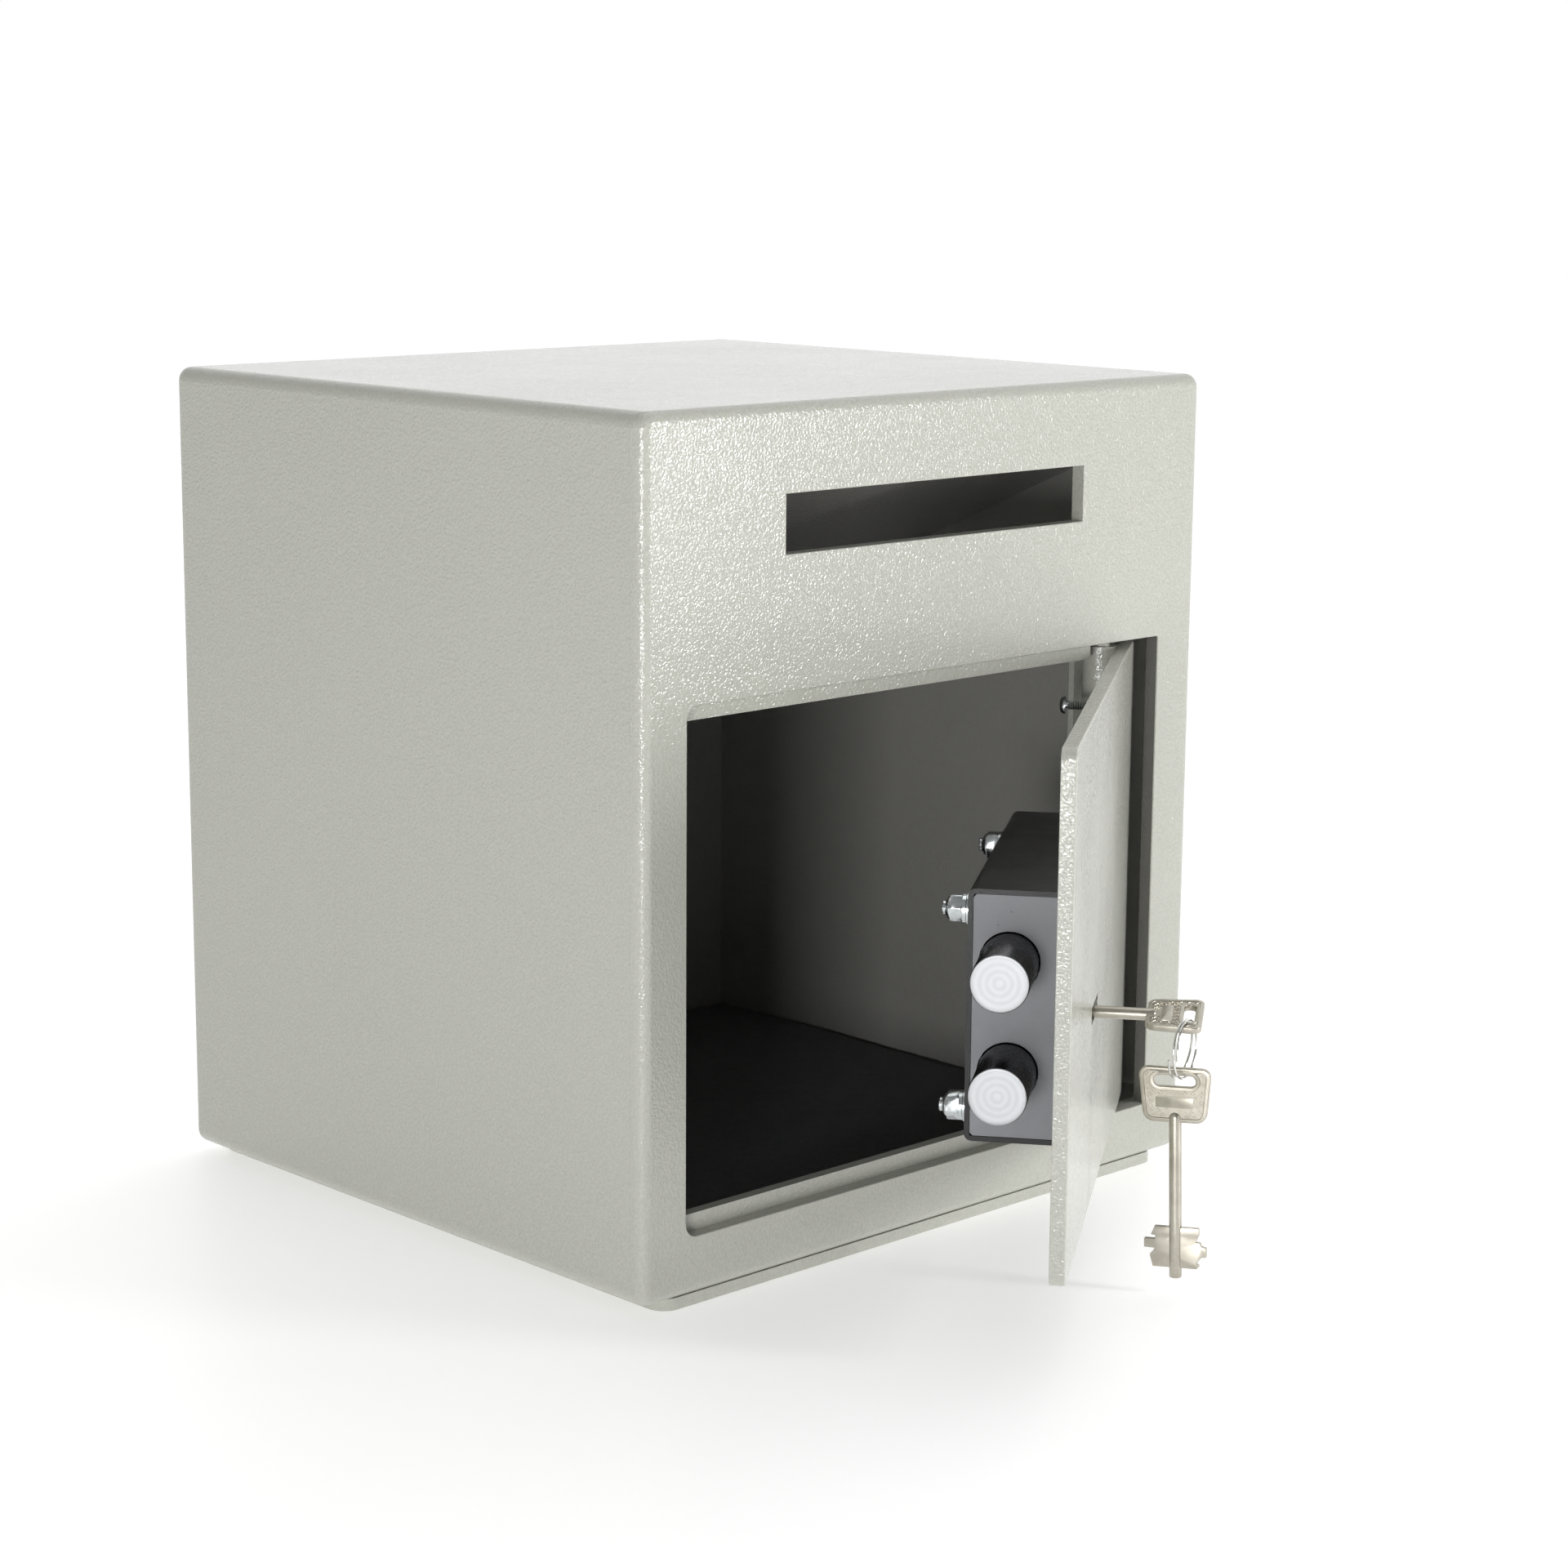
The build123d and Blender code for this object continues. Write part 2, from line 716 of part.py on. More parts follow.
def make_bow():
    """Flat bow with one long slot, and the root of the shank let into it."""
    bow = extrude(bow_outline(), bow_t / 2, both=True)
    bow = fillet(bow.faces().filter_by(Axis.Z).edges(), bow_edge_radius)
    slot = Pos(0, -bow_length + bow_slot_inset, 0) * SlotOverall(bow_slot_length, bow_slot_width)
    bow -= extrude(slot, bow_t, both=True)
    return bow - rod_y(0, -shank_in_bow, 1, 0, shank_d)


def bit_outline():
    """Stepped outline of the two bits, as shares of their reach and of their length along the shank."""
    free_side = [(-0.66, 0), (-0.78, 0.214), (-0.64, 0.226), (-0.64, 0.321), (-1, 0.321), (-1, 0.536),
                 (-0.64, 0.548), (-0.82, 0.714), (-0.72, 1)]
    hinge_side = [(0.70, 1), (0.78, 0.929), (0.68, 0.869), (0.86, 0.702), (1, 0.702), (1, 0.476),
                  (0.84, 0.440), (0.80, 0.351), (0.66, 0.351), (0.76, 0.179), (0.76, 0)]
    root = shank_length - bit_far_tip
    length = bit_far_tip - bit_near_tip
    steps = [(bit_reach * across, root + length * up) for across, up in free_side + hinge_side]
    return make_face(Polyline(*steps, close=True))


def make_shank():
    """Round shank with two stepped bits near its tip."""
    shank = rod_y(0, -shank_in_bow, shank_length, 0, shank_d)
    shank = chamfer(shank.faces().sort_by(Axis.Y)[-1].edges(), shank_end_chamfer)
    return shank + extrude(bit_outline(), bit_t / 2, both=True)


def key_in_lock(shape):
    """Puts a key shape in the lock of the shut door and turns it from home."""
    place = Pos(along(key_out), front_y - bow_stand_off, key_axis_z)
    return swung(place * Rot(0, -turn_from_home, 0) * shape)


def ring_crest():
    """Centre of the wire at the top of the ring, which rests on both edges of the bow's side bar."""
    tilt = radians(turn_from_home)
    end_radius = bow_slot_width / 2
    slot_end = bow_slot_length / 2 - end_radius + sqrt(end_radius ** 2 - ring_shift ** 2)
    slot_share = (bow_length - bow_slot_inset) / bow_length
    side = (bow_width_near + (bow_width_far - bow_width_near) * slot_share) / 2
    middle, half = (side + slot_end) / 2, (side - slot_end) / 2
    bore = (ring_d - ring_wire_d) / 2 - ring_rest_gap
    below = sqrt(bore ** 2 - half ** 2) - bow_t / 2
    x = along(key_out) - middle * cos(tilt) + below * sin(tilt)
    z = key_axis_z - middle * sin(tilt) - below * cos(tilt)
    y = front_y - bow_stand_off - bow_length + bow_slot_inset + ring_shift
    return x, y, z + ring_d / 2


def ring_point(angle):
    """A point of the wire's centre line, from the crest at 0 degrees to the crest at 360 and on round."""
    near, far = (ring_wire_d + ring_turn_gap) / 2, ring_spread / 2
    knots = [(-ring_end_angle, -far - near), (0, -near), (180, -far), (360, near), (540, far),
             (720 - ring_end_angle, far - ring_turn_gap)]
    start = max(i for i in range(len(knots) - 1) if knots[i][0] <= angle)
    (angle0, side0), (angle1, side1) = knots[start], knots[start + 1]
    ease = (1 - cos(radians(180 * (angle - angle0) / (angle1 - angle0)))) / 2
    drop = ring_d / 2 * (1 - cos(radians(angle)))
    side = side0 + (side1 - side0) * ease + drop * sin(radians(ring_lean))
    return ring_d / 2 * sin(radians(angle)), side, -drop


def make_split_ring():
    """Two turns of one wire, close together at the top and apart below."""
    steps = 36
    span = 720
    line = Spline(*[ring_point(-ring_end_angle + span * n / steps) for n in range(steps + 1)])
    wire = sweep(Plane(origin=line @ 0, z_dir=line % 0) * Circle(ring_wire_d / 2), path=line)
    return swung(Pos(*ring_crest()) * Rot(0, 0, ring_twist) * wire)


def ring_foot():
    """Where the spare key hangs: midway between the feet of the two turns, on the shut door."""
    foot = Pos(*ring_crest()) * Rot(0, 0, ring_twist) * Pos(0, ring_d * sin(radians(ring_lean)), -ring_d)
    return foot.position


def spare_key(shape):
    """Hangs a key shape upright on the ring by the edge of its slot."""
    wire_y = -bow_length + bow_slot_inset - bow_slot_width / 2 + ring_wire_d / 2 + spare_rest_gap
    upright = Rot(0, 0, spare_twist) * Rot(-90, 0, 0) * Rot(0, 90, 0)
    hung = Rot(0, 0, -spare_lean) * Pos(-spare_slot_offset, -wire_y, 0) * shape
    return swung(Pos(ring_foot()) * upright * hung)


def main():
    os.makedirs("parts", exist_ok=True)
    bow, shank = make_bow(), make_shank()
    low, high = bolt_heights()
    nodes = {
        "body_wrap": make_body_wrap(),
        "front_panel": make_front_panel(),
        "rear_panel": make_rear_panel(),
        "base_plate": make_base_plate(),
        "floor_plate": make_floor_plate(),
        "floor_mat": make_floor_mat(),
        "door_stop_top": make_door_stop_top(),
        "door_sill": make_door_sill(),
        "lock_jamb": make_lock_jamb(),
        "hinge_guard": make_hinge_guard(),
        **make_hinge_brackets(),
        **make_hinge_pins(),
        "thrust_washer": make_thrust_washer(),
        "letter_deflector": make_deflector(),
        "split_ring": make_split_ring(),
        "turned_key_bow": key_in_lock(bow),
        "turned_key_shank": key_in_lock(shank),
        "spare_key_bow": spare_key(bow),
        "spare_key_shank": spare_key(shank),
    }
    on_door = {
        "door_plate": make_door_plate(),
        "hinge_barrel": make_hinge_barrel(),
        "leaf_screw": make_leaf_screw(),
        "lock_chassis": make_lock_chassis(),
        "lock_cover": make_lock_cover(),
        "cover_studs": make_cover_studs(),
        "cover_washers": make_cover_washers(),
        "cover_nuts": make_cover_nuts(),
        "bolt_guide": make_bolt_guide(),
        "hard_plate": make_hard_plate(),
        "lock_body": make_lock_body(),
        "lock_lid": make_lock_lid(),
        "lever_post": make_lever_post(),
        "levers": make_levers(),
        "lever_springs": make_lever_springs(),
        "bolt_crossbar": make_bolt_crossbar(),
        "lock_tongue": make_lock_tongue(),
        "lower_bolt": make_bolt(low),
        "upper_bolt": make_bolt(high),
    }
    nodes.update({name: swung(shape) for name, shape in on_door.items()})
    for name, shape in nodes.items():
        export_step(shape, f"parts/{name}.step")


main()
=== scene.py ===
# %% [markdown]
# # A deposit safe with its door open
# The safe is a welded steel box with a slot for envelopes and a thick door below it. The door stands
# open, so the lock case, its bolts and the keys on their ring are all in view.
# The solids come from the CAD model in metres. This file gives them their finishes and models the small
# parts whose shape matters up close: keys, nuts, washers, bolts, screw, weld bead and felt mat.

# %% Load the safe's solids
from math import cos, pi, radians, sin, sqrt

import bmesh
import bpy
from mathutils import Matrix, Vector, noise


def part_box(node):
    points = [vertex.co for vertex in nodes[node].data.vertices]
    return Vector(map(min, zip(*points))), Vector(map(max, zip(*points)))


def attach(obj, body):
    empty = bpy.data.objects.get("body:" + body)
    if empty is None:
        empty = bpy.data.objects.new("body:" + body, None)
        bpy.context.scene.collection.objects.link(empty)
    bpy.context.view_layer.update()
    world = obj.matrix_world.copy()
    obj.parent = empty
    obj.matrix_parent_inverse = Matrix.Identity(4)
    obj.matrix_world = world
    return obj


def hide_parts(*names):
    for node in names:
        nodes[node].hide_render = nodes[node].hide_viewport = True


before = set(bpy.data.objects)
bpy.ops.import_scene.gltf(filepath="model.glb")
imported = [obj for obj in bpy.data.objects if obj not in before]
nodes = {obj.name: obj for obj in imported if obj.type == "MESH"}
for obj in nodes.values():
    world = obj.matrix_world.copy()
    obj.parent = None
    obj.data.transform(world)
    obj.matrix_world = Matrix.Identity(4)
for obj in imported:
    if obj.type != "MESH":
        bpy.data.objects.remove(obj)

scene = bpy.context.scene
mm = 0.001
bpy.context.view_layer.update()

# %% [markdown]
# ## Camera
# A photographer stands to the left of the safe, a little above it, and uses a short telephoto lens, which
# keeps the box from looking stretched. A camera's matrix is its three directions and its place, so the
# view is written as a turn, a tilt down and a slight roll. That is easier to adjust than three Euler angles.

# %% Camera
camera_data = bpy.data.cameras.new("camera")
camera = bpy.data.objects.new("camera", camera_data)
scene.collection.objects.link(camera)
scene.camera = camera
turn, tilt, roll = radians(43.95), radians(11.05), radians(-0.45)
level_right = Vector((cos(turn), -sin(turn), 0))
ahead = Vector((sin(turn) * cos(tilt), cos(turn) * cos(tilt), -sin(tilt)))
level_down = Vector((-sin(turn) * sin(tilt), -cos(turn) * sin(tilt), -cos(tilt)))
right = level_right * cos(roll) + level_down * sin(roll)
down = level_down * cos(roll) - level_right * sin(roll)
camera_place = Matrix.Translation((-0.9975, -1.0964, 0.461))
camera.matrix_world = camera_place @ Matrix((right, -down, -ahead)).transposed().to_4x4()
camera_data.sensor_width = 36
camera_data.lens = 77.76
camera_data.clip_start, camera_data.clip_end = 0.05, 60
print("camera", [round(v, 4) for v in camera.matrix_world.translation], "lens", camera_data.lens)

# %% [markdown]
# ## Shader helper
# A finish is a small network of nodes. Wiring it by hand hides the sums behind dozens of links, so this
# class wraps a socket: writing `1 - mask` or `grain * 0.3` adds the Math node for it. Every other node
# comes from one method, which takes the node's type, its settings and its inputs.

# %% Shader helper
class Value:
    """A number, colour or vector on its way through a finish."""

    def __init__(self, finish, socket):
        self.finish = finish
        self.socket = socket

    def math(self, operation, *others):
        return self.finish.add("ShaderNodeMath", {"operation": operation}, [self, *others])

    def __add__(self, other):
        return self.math("ADD", other)

    __radd__ = __add__

    def __sub__(self, other):
        return self.math("SUBTRACT", other)

    def __rsub__(self, other):
        return self.finish.add("ShaderNodeMath", {"operation": "SUBTRACT"}, [other, self])

    def __mul__(self, other):
        return self.math("MULTIPLY", other)

    __rmul__ = __mul__


class Finish:
    """One material and the nodes that make it."""

    def __init__(self, name):
        self.material = bpy.data.materials.new(name)
        self.material.use_nodes = True
        self.tree = self.material.node_tree
        self.tree.nodes.clear()

    def add(self, kind, settings=None, inputs=(), output=0):
        """Adds a node, sets it up, feeds its sockets and gives back one of its outputs."""
        node = self.tree.nodes.new(kind)
        for name, value in (settings or {}).items():
            setattr(node, name, value)
        pairs = inputs.items() if isinstance(inputs, dict) else enumerate(inputs)
        for key, value in pairs:
            if isinstance(value, Value):
                self.tree.links.new(value.socket, node.inputs[key])
            else:
                node.inputs[key].default_value = value
        return Value(self, node.outputs[output]) if node.outputs else None

    def place(self, centre=(0, 0, 0), turn=(0, 0, 0)):
        """Object coordinates, measured from a centre and turned with a piece."""
        spot = self.add("ShaderNodeTexCoord", output=3)
        return self.add("ShaderNodeMapping", {"vector_type": "TEXTURE"},
                        {"Vector": spot, "Location": centre, "Rotation": turn})

    def grain(self, where, per_metre, detail=2.0, roughness=0.5, distortion=0.0):
        return self.add("ShaderNodeTexNoise", inputs={"Vector": where, "Scale": per_metre, "Detail": detail,
                                                      "Roughness": roughness, "Distortion": distortion})

    def cells(self, where, per_metre):
        return self.add("ShaderNodeTexVoronoi", {"feature": "F1"}, {"Vector": where, "Scale": per_metre})

    def between(self, value, low, high, out_low=0.0, out_high=1.0):
        """Maps a range of a value to another range, and holds it there at both ends."""
        inputs = {"Value": value, "From Min": low, "From Max": high, "To Min": out_low, "To Max": out_high}
        return self.add("ShaderNodeMapRange", {"interpolation_type": "SMOOTHSTEP", "clamp": True}, inputs)

    def mix(self, share, first, second):
        """Blends two colours."""
        return self.add("ShaderNodeMix", {"data_type": "RGBA"}, {0: share, 6: first, 7: second}, output=2)

    def relief(self, height, depth):
        """Turns a height into a bump; depth is in metres."""
        return self.add("ShaderNodeBump", inputs={"Strength": 1.0, "Distance": depth, "Height": height})

    def surface(self, **sockets):
        """The Principled shader; an underscore in a name stands for a space."""
        named = {name.replace("_", " "): value for name, value in sockets.items()}
        shader = self.add("ShaderNodeBsdfPrincipled", inputs=named)
        self.add("ShaderNodeOutputMaterial", inputs={"Surface": shader})
        return self.material


print("helper ready")

# %% [markdown]
# ## Powder coat
# The body, the door and the parts welded to them share one pebble-grey powder coat. Powder flows as it
# bakes and sets into a pebbled skin, with a bump a little over a millimetre apart. The skin is glossy, so
# a lamp breaks up into hundreds of short white glints. The colour drifts a little from place to place.
# Inside the box and on the cut edge beside the hinge the colour is darker, which is painted shade for the
# little light that reaches there. These places are boxes in the finish, each with its own darker colour.

# %% Powder coat
def make_powder_coat(name, painted_shade_zones=()):
    coat = Finish(name)
    where = coat.place()
    pebbles = coat.grain(where, 860, detail=0.6, distortion=0.5)
    fine = coat.grain(where, 1900, detail=1.0)
    drift = coat.grain(where, 9, detail=3.0)
    colour = coat.mix(drift, (0.442, 0.446, 0.396, 1), (0.482, 0.486, 0.432, 1))
    colour = coat.mix(coat.between(pebbles, 0.35, 0.65), colour, (0.495, 0.499, 0.446, 1))
    # Painted shade: each zone swaps in a darker colour where little light reaches.
    for low, high, painted_shade_colour in painted_shade_zones:
        inside = 1.0
        for axis in range(3):
            along = coat.add("ShaderNodeSeparateXYZ", inputs=[where], output=axis)
            inside = along.math("GREATER_THAN", low[axis]) * inside
            inside = along.math("LESS_THAN", high[axis]) * inside
        colour = coat.mix(inside, colour, painted_shade_colour)
    return coat.surface(Base_Color=colour, Roughness=coat.between(drift, 0.3, 0.7, 0.12, 0.17), Metallic=0.0,
                        Normal=coat.relief(pebbles + fine * 0.05, 0.00026), Specular_IOR_Level=0.6)


# Painted shade: a darker colour for the inside of the box, where only light through the openings falls.
painted_shade_inside_box = ((-0.1602, -0.1416, 0.0075), (0.1602, 0.1506, 0.3523), (0.31, 0.307, 0.288, 1))
# Painted shade: the cut edge beside the hinge is coloured dark for the shadow the open door throws on it.
painted_shade_hinge_edge = ((0.1260, -0.1526, 0.0294), (0.1400, -0.1466, 0.2417), (0.13, 0.127, 0.12, 1))
powder_coat = make_powder_coat("body_paint")
body_coat_with_painted_shade = make_powder_coat("body_paint_painted_shade_inside", [painted_shade_inside_box, painted_shade_hinge_edge])
on_body = ["body_wrap", "front_panel", "rear_panel", "base_plate", "floor_plate", "door_stop_top",
           "door_sill", "lock_jamb", "upper_hinge_bracket", "lower_hinge_bracket", "upper_hinge_pin",
           "lower_hinge_pin", "letter_deflector"]
on_door = ["door_plate", "hinge_barrel", "hinge_guard"]


def coat_nodes(names, material):
    """Gives CAD nodes a material."""
    for name in names:
        nodes[name].data.materials.clear()
        nodes[name].data.materials.append(material)


coat_nodes(on_body, body_coat_with_painted_shade)
coat_nodes(on_door, powder_coat)
print("powder coat on", len(on_body) + len(on_door), "nodes")

# %% [markdown]
# ## Black lock case
# The lock's cover is folded sheet in black satin paint. It is smoother than the body's coat: a fine even
# texture that shows only where the light grazes it, and a speck here and there. The chassis inside it was
# painted apart, and its end looks blue-grey beside the cover. Both finishes come from one function.

# %% Black lock case
def make_case_paint(name, dark, light, rough_low, rough_high):
    paint = Finish(name)
    where = paint.place()
    fine = paint.grain(where, 1500, detail=2.0)
    drift = paint.grain(where, 35, detail=4.0, roughness=0.6)
    specks = paint.cells(where, 130)
    colour = paint.mix(paint.between(drift, 0.3, 0.7), dark, light)
    colour = paint.mix(paint.between(specks, 0.045, 0.03), colour, (0.006, 0.006, 0.006, 1))
    return paint.surface(Base_Color=colour, Roughness=paint.between(drift, 0.3, 0.7, rough_low, rough_high),
                         Normal=paint.relief(fine, 0.00004), Specular_IOR_Level=0.3)


case_paint = make_case_paint("lock_case_paint", (0.010, 0.010, 0.0105, 1), (0.015, 0.0152, 0.016, 1),
                             0.30, 0.40)
end_paint = make_case_paint("lock_end_paint", (0.21, 0.213, 0.228, 1), (0.245, 0.248, 0.265, 1), 0.34, 0.44)
coat_nodes(["lock_cover"], case_paint)
coat_nodes(["lock_chassis"], end_paint)
print("case paint on the cover, a greyer one on the chassis")

# %% [markdown]
# ## Bare and plated steel
# The fasteners are white zinc: bright, faintly blue and slightly cloudy. The plates and springs inside
# the lock are bare mill steel with a rolled grain, and the levers are stamped brass. All are metals, so
# their colour lives in the reflection; what tells them apart is how rough they are and which way the
# grain runs. One function makes them all, from a colour, a roughness and the stretch of its grain.

# %% Bare and plated steel
def make_metal(name, dark, light, rough_low, rough_high, cloud=60, grain=(1, 1, 1), fine=1400,
               depth=0.00001):
    metal = Finish(name)
    where = metal.place()
    stretched = metal.add("ShaderNodeMapping", inputs={"Vector": where, "Scale": grain})
    clouds = metal.grain(where, cloud, detail=4.0, roughness=0.6)
    scratches = metal.grain(stretched, fine, detail=2.0)
    colour = metal.mix(metal.between(clouds, 0.35, 0.65), dark, light)
    rough = metal.between(clouds * 0.6 + scratches * 0.4, 0.35, 0.65, rough_low, rough_high)
    return metal.surface(Base_Color=colour, Metallic=1.0, Roughness=rough,
                         Normal=metal.relief(scratches, depth))


zinc = make_metal("zinc_steel", (0.56, 0.60, 0.61, 1), (0.72, 0.75, 0.76, 1), 0.14, 0.28, cloud=240)
mill_steel = make_metal("lock_steel", (0.44, 0.45, 0.46, 1), (0.58, 0.58, 0.59, 1), 0.30, 0.45,
                        grain=(0.08, 0.08, 1), fine=1800)
brass = make_metal("lever_brass", (0.62, 0.46, 0.20, 1), (0.76, 0.58, 0.27, 1), 0.25, 0.4, grain=(1, 1, 0.1))
spring_wire = make_metal("ring_steel", (0.68, 0.68, 0.66, 1), (0.82, 0.82, 0.80, 1), 0.08, 0.18, cloud=300,
                         fine=4000, depth=0.000004)
nickel = make_metal("key_nickel", (0.44, 0.413, 0.352, 1), (0.51, 0.485, 0.422, 1), 0.33, 0.40, cloud=160,
                    fine=2600, depth=0.000006)
coat_nodes(["thrust_washer"], zinc)
coat_nodes(["bolt_guide", "hard_plate", "lock_body", "lock_lid", "lever_post", "lever_springs",
            "bolt_crossbar", "lock_tongue"], mill_steel)
coat_nodes(["levers"], brass)
coat_nodes(["split_ring"], spring_wire)
print("metals ready")

# %% [markdown]
# ## Where the door is
# The door and all that rides on it are easiest to model on the shut door, where every edge runs along X,
# Y or Z. One matrix then swings them to the angle at which the door stands open. The keys have a matrix
# of their own inside that one: the turned key sits in the lock, and the spare hangs from the ring.

# %% Places on the door
hinge_x, hinge_y = 0.1155, -0.1398
open_angle = radians(36.06)
hinge = Matrix.Translation((hinge_x, hinge_y, 0))
swing = hinge @ Matrix.Rotation(open_angle, 4, "Z") @ hinge.inverted()
door_inner_y = -0.14705
door_front_y = -0.15325
bolt_heights = (0.1055, 0.1489)
bolt_axis_y = -0.12615
bolt_end_x = hinge_x - 0.252
bolt_r = 0.01125
key_x, key_z = -0.0319, 0.11265


def at(x, y, z):
    return Matrix.Translation((x, y, z))


def rotated(axis, degrees):
    return Matrix.Rotation(radians(degrees), 4, axis)


facing_in = rotated("X", -90)
key_in_lock = swing @ at(key_x, door_front_y - 0.0208, key_z) @ rotated("Y", -9)
ring_foot = (-0.04124, -0.189006, 0.090066)
spare_upright = rotated("Z", -8) @ rotated("X", -90) @ rotated("Y", 90)
spare_on_ring = swing @ at(*ring_foot) @ spare_upright @ rotated("Z", -1.8) @ at(-0.0024, 0.0185, 0)
print("key at", [round(v / mm, 1) for v in key_in_lock.translation])
print("spare at", [round(v / mm, 1) for v in spare_on_ring.translation])


def settle(bm, name, place, material, body, replaces=(), smooth=35):
    """Puts a bmesh drawn in millimetres in its place as a finished piece."""
    bmesh.ops.remove_doubles(bm, verts=bm.verts, dist=0.0005)
    bmesh.ops.recalc_face_normals(bm, faces=bm.faces)
    mesh = bpy.data.meshes.new(name)
    bm.to_mesh(mesh)
    bm.free()
    mesh.transform(place @ Matrix.Scale(mm, 4))
    mesh.materials.append(material)
    mesh.shade_smooth()
    mesh.set_sharp_from_angle(angle=radians(smooth))
    piece = bpy.data.objects.new(name, mesh)
    scene.collection.objects.link(piece)
    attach(piece, body)
    if replaces:
        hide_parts(*replaces)
    print(name, len(mesh.polygons), "faces")
    return piece


def turned(bm, profile, steps=48):
    """Spins a profile of (radius, height) points round Z, like a part on a lathe."""
    line = [bm.verts.new((radius, 0, height)) for radius, height in profile]
    edges = [bm.edges.new(pair) for pair in zip(line, line[1:])]
    bmesh.ops.spin(bm, geom=line + edges, cent=(0, 0, 0), axis=(0, 0, 1), angle=2 * pi, steps=steps,
                   use_merge=True, use_duplicate=False)
    bmesh.ops.remove_doubles(bm, verts=bm.verts, dist=0.0005)


def joined(bm, part, matrix=Matrix()):
    """Puts a finished part in its place in a bigger one."""
    bmesh.ops.recalc_face_normals(part, faces=part.faces)
    bmesh.ops.transform(part, matrix=matrix, verts=part.verts)
    carrier = bpy.data.meshes.new("carrier")
    part.to_mesh(carrier)
    part.free()
    bm.from_mesh(carrier)
    bpy.data.meshes.remove(carrier)


# %% [markdown]
# ## Bolts
# Two round bars with polished sides, coloured dark as a painted reflection of the dark surroundings they
# mirror. The end face is turned bright on a lathe, whose tool leaves fine rings and a small pip in the
# middle. A lathe part is a profile spun round its axis, so that is how it is modelled, with the tail that is
# riveted into the crossbar. The rings in the finish are a wave of the distance to the axis, and the same
# distance tells the bright face from the side with its painted dark reflection.

# %% Bolts
def bolt_profile():
    """From the pip on the end face to the riveted tail; 0 is the end face."""
    rings = [(0, -0.03), (0.5, 0.0)]
    radius, feed = 1.6, 1.35
    while radius < 9.8:
        rings += [(radius, 0.0), (radius + 0.2, 0.004), (radius + 0.4, 0.0)]
        radius += feed
    side = bolt_r / mm
    tenon, shoulder, tail = 5.98, 72.0, 78.0
    bar = [(side - 0.4, 0), (side - 0.25, 0.1), (side, 0.5), (side, shoulder)]
    return rings + bar + [(tenon, shoulder), (tenon, tail), (8.0, tail), (8.0, 79.2), (7.2, 79.8), (0, 79.8)]


def make_bolt_steel(name, height):
    steel = Finish(name)
    where = steel.place((hinge_x, hinge_y, 0), (0, 0, open_angle))
    across = steel.add("ShaderNodeSeparateXYZ", inputs=[where], output=1) - (bolt_axis_y - hinge_y)
    up = steel.add("ShaderNodeSeparateXYZ", inputs=[where], output=2) - height
    radius = (across * across + up * up).math("SQRT")
    rings = (radius * (2 * pi / 0.0007)).math("SINE")
    broad = (radius * (2 * pi / 0.0027)).math("SINE")
    wobble = steel.grain(where, 300, detail=3.0)
    banded = steel.between(broad * 0.35 + wobble, 0.0, 1.0)
    colour = steel.mix(banded, (0.41, 0.417, 0.43, 1), (0.46, 0.467, 0.48, 1))
    # Painted reflection: the polished side gets a dark colour for the dark surroundings it mirrors.
    side = radius.math("GREATER_THAN", bolt_r - 0.00025)
    colour = steel.mix(side, colour, (0.10, 0.10, 0.108, 1))
    rough = steel.between(rings + wobble, -0.8, 1.6, 0.46, 0.58) - side * 0.28
    lathe = rings * 0.5 + steel.grain(where, 2200) * 0.3
    return steel.surface(Base_Color=colour, Metallic=1.0, Roughness=rough,
                         Normal=steel.relief(lathe, 0.000004))


for side, height in zip(("lower", "upper"), bolt_heights):
    bm = bmesh.new()
    turned(bm, bolt_profile(), steps=72)
    along_bolt = swing @ at(bolt_end_x, bolt_axis_y, height) @ rotated("Y", 90)
    settle(bm, f"turned_{side}_bolt", along_bolt, make_bolt_steel(f"{side}_bolt_steel", height), "boltwork",
           [f"{side}_bolt"])

# %% [markdown]
# ## Studs, washers and locking nuts
# Four studs welded to the door hold the case's cover. Each has a flat washer, a split spring washer and a
# locking nut, whose round collar grips the thread. The nut starts as a six-sided disc; bevelling its
# corners gives the chamfer that a machined nut has. The thread is a zigzag profile, spun.

# %% Studs, washers and locking nuts
cover_y = door_inner_y + 0.0372
stud_places = [(x, z) for x in (-0.0905, 0.0275) for z in (0.0881, 0.1663)]
nut_across_flats, nut_hex_height = 10.0, 4.6
washer_thick, spring_thick = 1.6, 1.6


def make_nut():
    bm = bmesh.new()
    made = bmesh.ops.create_circle(bm, cap_ends=True, segments=6, radius=nut_across_flats / 2 / cos(pi / 6))
    grown = bmesh.ops.extrude_face_region(bm, geom=[v.link_faces[0] for v in made["verts"][:1]])
    top = [v for v in grown["geom"] if isinstance(v, bmesh.types.BMVert)]
    bmesh.ops.translate(bm, verts=top, vec=(0, 0, nut_hex_height))
    bmesh.ops.bevel(bm, geom=top + made["verts"], offset=0.55, affect="VERTICES", segments=2, profile=0.5,
                    material=-1)
    turned(bm, [(4.6, 4.4), (4.6, 4.65), (4.45, 5.2), (4.1, 5.7), (3.6, 6.0), (3.3, 5.95), (3.1, 5.6),
                (3.1, 4.4), (4.6, 4.4)], 36)
    return bm


def make_flat_washer(low, high, radius):
    bm = bmesh.new()
    ease = 0.18
    turned(bm, [(3.0, low), (radius - ease, low), (radius, low + ease), (radius, high - ease),
                (radius - ease, high), (3.0, high), (3.0, low)], 40)
    return bm


